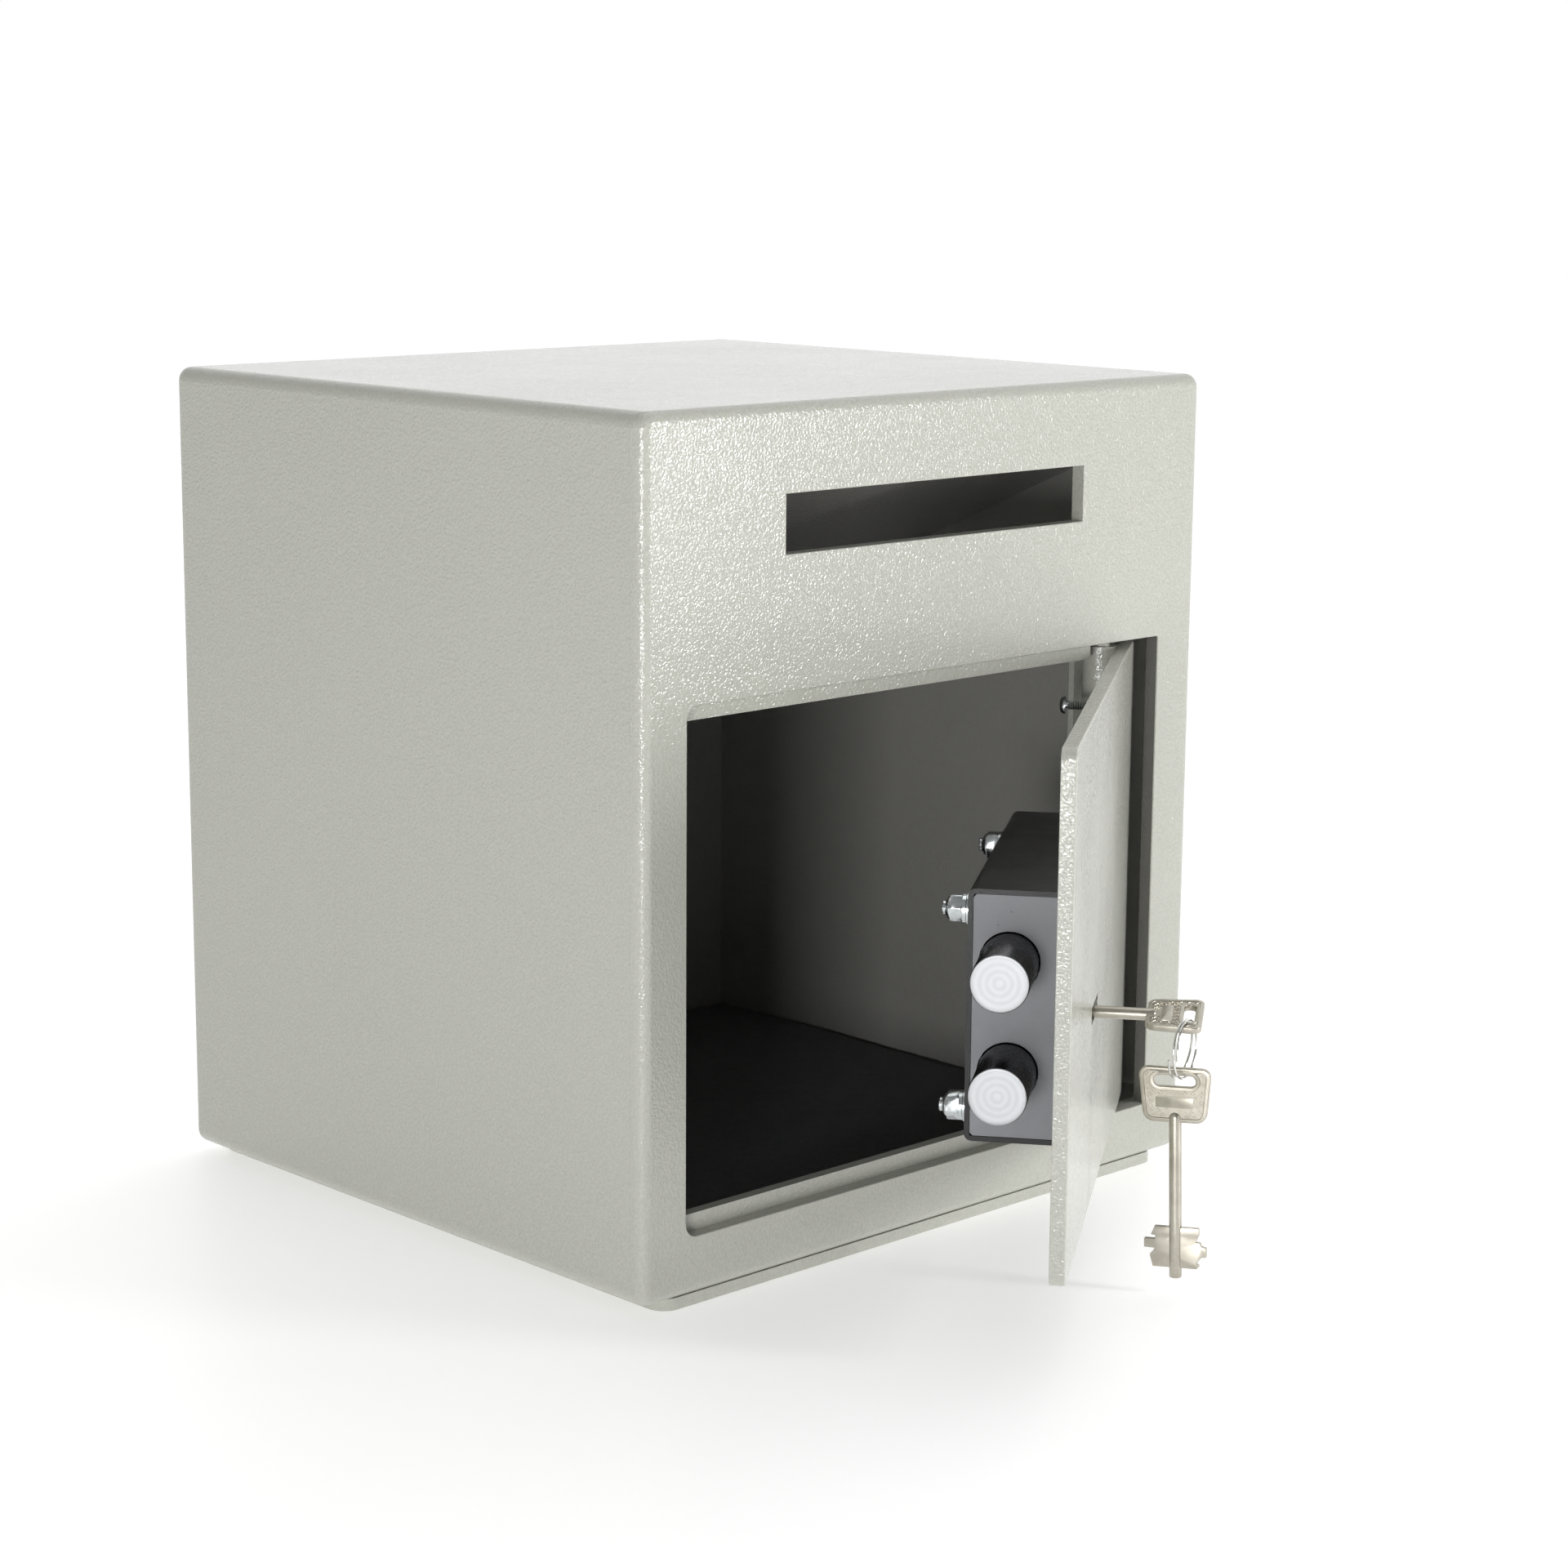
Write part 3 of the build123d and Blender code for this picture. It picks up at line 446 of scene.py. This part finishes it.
def make_spring_washer(low, high, radius):
    """A square wire wound almost once round, with its two ends a little apart."""
    bm = bmesh.new()
    bore, climb, steps = 3.1, 0.25, 36
    section = ((bore, low), (radius, low), (radius, high - climb), (bore, high - climb))
    wire = [bm.verts.new((r, 0, z)) for r, z in section]
    face = bm.faces.new(wire)
    bmesh.ops.spin(bm, geom=[face, *face.edges, *wire], cent=(0, 0, 0), axis=(0, 0, 1), angle=radians(348),
                   dvec=(0, 0, climb / steps), steps=steps, use_duplicate=False)
    return bm


thread = [(0, -33.4), (2.9, -33.4), (2.9, 5.0)]
for turn_number in range(5):
    thread += [(3.0, 5.4 + turn_number), (2.62, 5.9 + turn_number)]
thread = [p for p in thread if p[1] < 10.6] + [(2.75, 10.7), (2.55, 11.0), (0, 11.0)]
nuts, washers, studs = bmesh.new(), bmesh.new(), bmesh.new()
for number, (x, z) in enumerate(stud_places):
    stack = at(x / mm, cover_y / mm, z / mm) @ facing_in @ rotated("Z", 17 + 23 * number)
    joined(washers, make_flat_washer(0.0, washer_thick, 6.25), stack)
    joined(washers, make_spring_washer(washer_thick, washer_thick + spring_thick, 5.75), stack)
    joined(nuts, make_nut(), stack @ at(0, 0, washer_thick + spring_thick))
    stud = bmesh.new()
    turned(stud, thread, 24)
    joined(studs, stud, stack)
settle(washers, "cover_washer_set", swing, zinc, "door", ["cover_washers"])
settle(nuts, "cover_nut_set", swing, zinc, "door", ["cover_nuts"])
settle(studs, "cover_stud_set", swing, zinc, "door", ["cover_studs"])

# %% [markdown]
# ## Keys
# Each key is a cast bow on a round shank with two stepped bits. The bow has a raised rim, a slot for the
# ring and a basket pattern of short dashes, with one bare raised field. The outline starts as four
# corners that a vertex bevel rounds; insetting the flat faces leaves the rim standing, and small ridges
# on a diagonal grid make the basket. The shank is turned, with a round end that laps over the bow.

# %% Bow of the key
bow_length, bow_near, bow_far = 22.4, 12.6, 14.8
slot_y, slot_half_length, slot_half_width = -17.0, 8.5, 2.3
field_y, field_half_length, field_half_width = -8.2, 7.75, 2.25
bow_half, rim, sink = 1.35, 1.15, 0.32


def rounded_face(bm, corners, radius, segments):
    face = bm.faces.new([bm.verts.new((x, y, 0)) for x, y in corners])
    bmesh.ops.bevel(bm, geom=list(face.verts), offset=radius, affect="VERTICES", segments=segments,
                    profile=0.5, material=-1)


def oblong(x, y, half_length, half_width):
    return [(x - half_length, y - half_width), (x + half_length, y - half_width),
            (x + half_length, y + half_width), (x - half_length, y + half_width)]


def bow_blank(bm):
    """The bow's flat blank with its slot, drawn at the middle of its thickness and thickened both ways."""
    rounded_face(bm, [(-bow_far, -bow_length), (bow_far, -bow_length), (bow_near, 0), (-bow_near, 0)], 4.0, 8)
    rounded_face(bm, oblong(0, slot_y, slot_half_length, slot_half_width), slot_half_width - 0.01, 6)
    edges = list(bm.edges)
    bmesh.ops.delete(bm, geom=list(bm.faces), context="FACES_ONLY")
    bmesh.ops.triangle_fill(bm, use_beauty=True, edges=edges, normal=(0, 0, 1))
    bmesh.ops.translate(bm, verts=bm.verts, vec=(0, 0, -bow_half))
    grown = bmesh.ops.extrude_face_region(bm, geom=list(bm.faces))
    bmesh.ops.translate(bm, verts=[v for v in grown["geom"] if isinstance(v, bmesh.types.BMVert)],
                        vec=(0, 0, 2 * bow_half))
    bmesh.ops.recalc_face_normals(bm, faces=bm.faces)
    corners = [e for e in bm.edges if len(e.link_faces) == 2 and e.calc_face_angle(0) > radians(70)]
    bmesh.ops.bevel(bm, geom=corners, offset=0.4, affect="EDGES", segments=3, profile=0.5, material=-1)


def inside_bow(x, y, margin):
    """Whether a spot of the bow's face is clear of the rim, the slot, the bare field and the shank."""
    half = bow_near + (bow_far - bow_near) * -y / bow_length
    if not (abs(x) < half - margin and -bow_length + margin < y < -margin):
        return False
    if abs(x) < slot_half_length + margin and abs(y - slot_y) < slot_half_width + margin:
        return False
    if abs(x) < field_half_length + 0.7 and abs(y - field_y) < field_half_width + 0.7:
        return False
    return not (abs(x) < 3.4 and y > -5.4)


def add_ridge(bm, x, y, z, degrees, length):
    """A short raised dash, narrower at its top."""
    where = at(x, y, z) @ rotated("Z", degrees) @ Matrix.Diagonal((length, 0.42, 0.5, 1))
    made = bmesh.ops.create_cube(bm, size=1.0, matrix=where)
    outer = [v for v in made["verts"] if abs(v.co.z) > abs(z)]
    middle = Vector((x, y, 0))
    for v in outer:
        v.co.x += (middle.x - v.co.x) * 0.3
        v.co.y += (middle.y - v.co.y) * 0.3


def add_basket(bm, side):
    """Three dashes in each square of a diagonal grid, turned in every other square."""
    pitch, count, level = 2.35, 0, side * (bow_half - sink + 0.02)
    for i in range(-14, 15):
        for j in range(-14, 15):
            x = (i - j) * pitch / sqrt(2)
            y = (i + j) * pitch / sqrt(2) - bow_length / 2
            degrees = 45 if (i + j) % 2 else -45
            step = Vector((-sin(radians(degrees)), cos(radians(degrees)))) * 0.72
            for k in (-1, 0, 1):
                spot = (x + step.x * k, y + step.y * k)
                if inside_bow(*spot, rim + 0.95):
                    add_ridge(bm, *spot, level, degrees, 1.75)
                    count += 1
    return count


def make_bow(name, place, body, node):
    bm = bmesh.new()
    bow_blank(bm)
    for side in (-1, 1):
        flat = [f for f in bm.faces if f.normal.z * side > 0.99]
        for thickness, depth in ((rim, 0), (0.22, -sink)):
            bmesh.ops.inset_region(bm, faces=flat, thickness=thickness, depth=depth, use_boundary=True,
                                   use_even_offset=True)
    print("dashes:", [add_basket(bm, side) for side in (-1, 1)])
    field = bmesh.new()
    rounded_face(field, oblong(0, field_y, field_half_length, field_half_width), 0.6, 4)
    bmesh.ops.translate(field, verts=field.verts, vec=(0, 0, -bow_half + 0.06))
    grown = bmesh.ops.extrude_face_region(field, geom=list(field.faces))
    bmesh.ops.translate(field, verts=[v for v in grown["geom"] if isinstance(v, bmesh.types.BMVert)],
                        vec=(0, 0, 2 * bow_half - 0.12))
    bmesh.ops.recalc_face_normals(field, faces=field.faces)
    corners = [e for e in field.edges if e.calc_face_angle(0) > radians(70)]
    bmesh.ops.bevel(field, geom=corners, offset=0.12, affect="EDGES", segments=2, profile=0.5, material=-1)
    joined(bm, field)
    return settle(bm, name, place, nickel, body, [node], smooth=40)


make_bow("turned_key_bow_cast", key_in_lock, "key", "turned_key_bow")
make_bow("spare_key_bow_cast", spare_on_ring, "spare_key", "spare_key_bow")

# %% Shank and bits of the key
shank_r, shank_length = 2.5, 64.6
bit_reach, bit_length, bit_root, bit_half_thick = 12.6, 16.8, 21.0, 1.1


def bit_steps():
    """The stepped outline of both bits, as shares of their reach and of their length."""
    free_side = [(-0.66, 0), (-0.78, 0.214), (-0.64, 0.226), (-0.64, 0.321), (-1, 0.321), (-1, 0.536),
                 (-0.64, 0.548), (-0.82, 0.714), (-0.72, 1)]
    hinge_side = [(0.70, 1), (0.78, 0.929), (0.68, 0.869), (0.86, 0.702), (1, 0.702), (1, 0.476),
                  (0.84, 0.440), (0.80, 0.351), (0.66, 0.351), (0.76, 0.179), (0.76, 0)]
    root = shank_length - bit_root
    return [(bit_reach * across, root + bit_length * up) for across, up in free_side + hinge_side]


def make_key_shank(name, place, body, node):
    bm = bmesh.new()
    dome = [(shank_r * sin(radians(a)), -4.3 + shank_r * (1 - cos(radians(a)))) for a in range(0, 91, 15)]
    tip = [(shank_r, shank_length - 0.5), (shank_r - 0.15, shank_length - 0.15),
           (shank_r - 0.5, shank_length), (0, shank_length)]
    turned(bm, dome + [(shank_r, 20.0), (shank_r, 40.0)] + tip, 40)
    bmesh.ops.transform(bm, matrix=rotated("X", -90), verts=bm.verts)
    bits = bmesh.new()
    face = bits.faces.new([bits.verts.new((x, y, -bit_half_thick)) for x, y in reversed(bit_steps())])
    grown = bmesh.ops.extrude_face_region(bits, geom=[face])
    bmesh.ops.translate(bits, verts=[v for v in grown["geom"] if isinstance(v, bmesh.types.BMVert)],
                        vec=(0, 0, 2 * bit_half_thick))
    bmesh.ops.recalc_face_normals(bits, faces=bits.faces)
    corners = [e for e in bits.edges if e.calc_face_angle(0) > radians(25)]
    bmesh.ops.bevel(bits, geom=corners, offset=0.12, affect="EDGES", segments=2, profile=0.5, material=-1)
    joined(bm, bits)
    return settle(bm, name, place, nickel, body, [node], smooth=40)


make_key_shank("turned_key_shank_cast", key_in_lock, "key", "turned_key_shank")
make_key_shank("spare_key_shank_cast", spare_on_ring, "spare_key", "spare_key_shank")

# %% [markdown]
# ## Screw on the door
# A small pan-head screw stands off the inner face of the door, near the hinge. Its head is a turned dome
# with a cross cut into it. The cross is cut with a Boolean, as the driver's punch forms it in one stroke.

# %% Screw on the door
def make_leaf_screw():
    head = [(3.8, 18.9), (3.8, 19.6), (3.5, 20.5), (2.7, 21.2), (1.5, 21.45), (0, 21.5)]
    ridges = [point for n in range(17) for point in ((2.0, 1.2 + n), (1.7, 1.7 + n))]
    blank, punch = bmesh.new(), bmesh.new()
    turned(blank, [(0, 0), (2.0, 0)] + ridges + [(2.0, 18.6), (2.0, 18.9)] + head, 32)
    arm, half = 1.9, 0.36
    corners = [rotated("Z", 20 + 90 * quarter) @ Vector((x, y, 20.3))
               for quarter in range(4) for x, y in ((arm, -half), (arm, half), (half, half))]
    face = punch.faces.new([punch.verts.new(corner) for corner in corners])
    grown = bmesh.ops.extrude_face_region(punch, geom=[face])
    wide = [v for v in grown["geom"] if isinstance(v, bmesh.types.BMVert)]
    bmesh.ops.translate(punch, verts=wide, vec=(0, 0, 2.2))
    bmesh.ops.scale(punch, verts=[v for v in punch.verts if v.co.z < 21], vec=(0.5, 0.7, 1))
    pieces = []
    for name, part in (("screw_blank", blank), ("cross_punch", punch)):
        bmesh.ops.recalc_face_normals(part, faces=part.faces)
        mesh = bpy.data.meshes.new(name)
        part.to_mesh(mesh)
        part.free()
        pieces.append(bpy.data.objects.new(name, mesh))
        scene.collection.objects.link(pieces[-1])
    cut = pieces[0].modifiers.new("cross", "BOOLEAN")
    cut.object, cut.operation, cut.solver = pieces[1], "DIFFERENCE", "EXACT"
    bpy.context.view_layer.update()
    shaped = bpy.data.meshes.new_from_object(pieces[0].evaluated_get(bpy.context.evaluated_depsgraph_get()))
    for piece in pieces:
        bpy.data.objects.remove(piece)
    bm = bmesh.new()
    bm.from_mesh(shaped)
    bpy.data.meshes.remove(shaped)
    place = swing @ at(hinge_x - 0.030, door_inner_y, 0.2165) @ facing_in
    settle(bm, "pan_head_screw", place, zinc, "door", ["leaf_screw"])


make_leaf_screw()

# %% [markdown]
# ## Felt mat
# A charcoal needle-felt mat lies on the floor of the safe. Felt is never quite flat, so the solid is
# copied, rebuilt as an even net of small faces and pushed up and down by a slow noise. The finish is
# rough and dark with paler fibres and specks of lint, and has no gloss.

# %% Felt mat
def make_felt():
    felt = Finish("felt")
    where = felt.place()
    fibres = felt.grain(where, 900, detail=6.0, roughness=0.75, distortion=1.5)
    tufts = felt.grain(where, 190, detail=4.0, roughness=0.65)
    lint = felt.cells(where, 420)
    colour = felt.mix(felt.between(fibres, 0.40, 0.62), (0.009, 0.0095, 0.011, 1), (0.042, 0.044, 0.050, 1))
    colour = felt.mix(felt.between(lint, 0.16, 0.08), colour, (0.13, 0.135, 0.145, 1))
    height = fibres * 0.6 + tufts * 0.8
    return felt.surface(Base_Color=colour, Roughness=felt.between(tufts, 0.3, 0.7, 0.9, 1.0),
                        Normal=felt.relief(height, 0.0012), Sheen_Weight=0.25, Sheen_Roughness=0.6)


def make_mat():
    mat = bpy.data.objects.new("felt_mat", nodes["floor_mat"].data.copy())
    scene.collection.objects.link(mat)
    mat.data.materials.clear()
    net = mat.modifiers.new("net", "REMESH")
    net.mode, net.voxel_size, net.use_smooth_shade = "VOXEL", 0.0023, True
    bpy.context.view_layer.update()
    mesh = bpy.data.meshes.new_from_object(mat.evaluated_get(bpy.context.evaluated_depsgraph_get()))
    mat.modifiers.clear()
    mat.data = mesh
    low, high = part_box("floor_mat")
    for v in mesh.vertices:
        if v.co.z > (low.z + high.z) / 2:
            v.co.z += 0.0005 * (noise.noise(v.co * 28) - 0.6) + 0.0002 * noise.noise(v.co * 160)
    mesh.materials.append(make_felt())
    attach(mat, "safe")
    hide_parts("floor_mat")


make_mat()

# %% [markdown]
# ## Weld bead
# The thick front plate is welded to the folded wrap, and the bead is ground almost flush. Under the paint
# it shows as a fine wavering ridge down each side of the body. A thin eight-sided bar follows the seam, and
# noise shifts and swells each of its rings.

# %% Weld bead
seam_x, seam_y, seam_foot, seam_length = 0.16263, -0.14675, 0.012, 336


def make_seam(name, x_side):
    bm = bmesh.new()
    made = bmesh.ops.create_circle(bm, cap_ends=True, segments=8, radius=0.62)
    face = made["verts"][0].link_faces[0]
    step = 2.0
    for ring_number in range(int(seam_length / step)):
        grown = bmesh.ops.extrude_face_region(bm, geom=[face])
        ring = [v for v in grown["geom"] if isinstance(v, bmesh.types.BMVert)]
        bmesh.ops.translate(bm, verts=ring, vec=(0, 0, step))
        if ring_number:
            bmesh.ops.delete(bm, geom=[face], context="FACES_ONLY")
        face = next(f for f in grown["geom"] if isinstance(f, bmesh.types.BMFace))
    for v in bm.verts:
        swell = 1 + 0.16 * noise.noise(Vector((0, x_side, v.co.z * 0.35)))
        v.co.x = v.co.x * swell * 0.8
        v.co.y = v.co.y * swell + 0.22 * noise.noise(Vector((3, x_side, v.co.z * 0.12)))
    place = at(x_side * seam_x, seam_y, seam_foot)
    return settle(bm, name, place, powder_coat, "safe", smooth=60)


make_seam("seam_bead_lock_side", -1)
make_seam("seam_bead_hinge_side", 1)

# %% [markdown]
# ## Floor and light
# The floor is plain white paper that glows a little further out, as paper lit on its own does. The sky is a
# white backdrop: the camera sees it as pure white, but as a light it is dim except towards the right rear,
# where the lit backdrop stands and where the outer side of the door looks. Soft boxes do the shaping. Two
# small bright ones show as glints in the coat: the one to the right of the front does the front's left
# half, and the one behind the camera does the door's edge. One above lifts the top.

# %% Floor and light
def make_floor():
    paper = Finish("studio_floor")
    where = paper.place()
    soft = paper.grain(where, 3, detail=2.0)
    colour = paper.mix(soft, (0.90, 0.90, 0.90, 1), (0.93, 0.93, 0.93, 1))
    away = paper.add("ShaderNodeVectorMath", {"operation": "LENGTH"}, [where], output=1)
    glow = paper.mix(paper.between(away, 0.35, 1.6), (0.42, 0.42, 0.42, 1), (0.5, 0.5, 0.5, 1))
    material = paper.surface(Base_Color=colour, Roughness=paper.between(soft, 0.3, 0.7, 0.42, 0.5),
                             Specular_IOR_Level=0.35, Emission_Color=glow, Emission_Strength=1.0)
    bm = bmesh.new()
    bmesh.ops.create_circle(bm, cap_ends=True, segments=96, radius=9.0)
    mesh = bpy.data.meshes.new("floor")
    bm.to_mesh(mesh)
    bm.free()
    mesh.materials.append(material)
    floor = bpy.data.objects.new("floor", mesh)
    scene.collection.objects.link(floor)


def make_sky(dim, bright, towards):
    """A sky that lights more from one side, and that the camera sees as plain white."""
    world = bpy.data.worlds.new("studio")
    scene.world = world
    world.use_nodes = True
    tree = world.node_tree
    seen, lit = tree.nodes["Background"], tree.nodes.new("ShaderNodeBackground")
    side, ramp = tree.nodes.new("ShaderNodeVectorMath"), tree.nodes.new("ShaderNodeMapRange")
    path, blend = tree.nodes.new("ShaderNodeLightPath"), tree.nodes.new("ShaderNodeMixShader")
    side.operation = "DOT_PRODUCT"
    side.inputs[1].default_value = Vector(towards).normalized()
    ramp.interpolation_type = "SMOOTHSTEP"
    for key, value in (("From Min", 0.25), ("From Max", 0.9), ("To Min", dim), ("To Max", bright)):
        ramp.inputs[key].default_value = value
    seen.inputs["Color"].default_value = lit.inputs["Color"].default_value = (1, 1, 1, 1)
    tree.links.new(tree.nodes.new("ShaderNodeTexCoord").outputs["Generated"], side.inputs[0])
    tree.links.new(side.outputs["Value"], ramp.inputs["Value"])
    tree.links.new(ramp.outputs[0], lit.inputs["Strength"])
    tree.links.new(path.outputs["Is Camera Ray"], blend.inputs[0])
    tree.links.new(lit.outputs[0], blend.inputs[1])
    tree.links.new(seen.outputs[0], blend.inputs[2])
    tree.links.new(blend.outputs[0], tree.nodes["World Output"].inputs["Surface"])


def soft_box(name, place, target, size, power):
    data = bpy.data.lights.new(name, "AREA")
    data.shape, data.size, data.size_y, data.energy = "RECTANGLE", size[0], size[1], power
    lamp = bpy.data.objects.new(name, data)
    scene.collection.objects.link(lamp)
    lamp.location = place
    lamp.rotation_euler = (Vector(target) - Vector(place)).to_track_quat("-Z", "Y").to_euler()
    print(name, "at", place, power, "W")


make_floor()
make_sky(0.28, 1.2, (0.8, 0.6, 0.1))
soft_box("front_box", (0.64, -1.28, 0.42), (-0.1, -0.15, 0.28), (0.20, 0.50), 8)
soft_box("top_box", (0.2, 0.3, 2.1), (0, 0, 0.2), (1.4, 1.4), 7)
soft_box("camera_box", (-1.50, -1.16, 0.20), (-0.08, -0.3, 0.18), (0.32, 0.32), 11)
scene.view_settings.view_transform = "Standard"
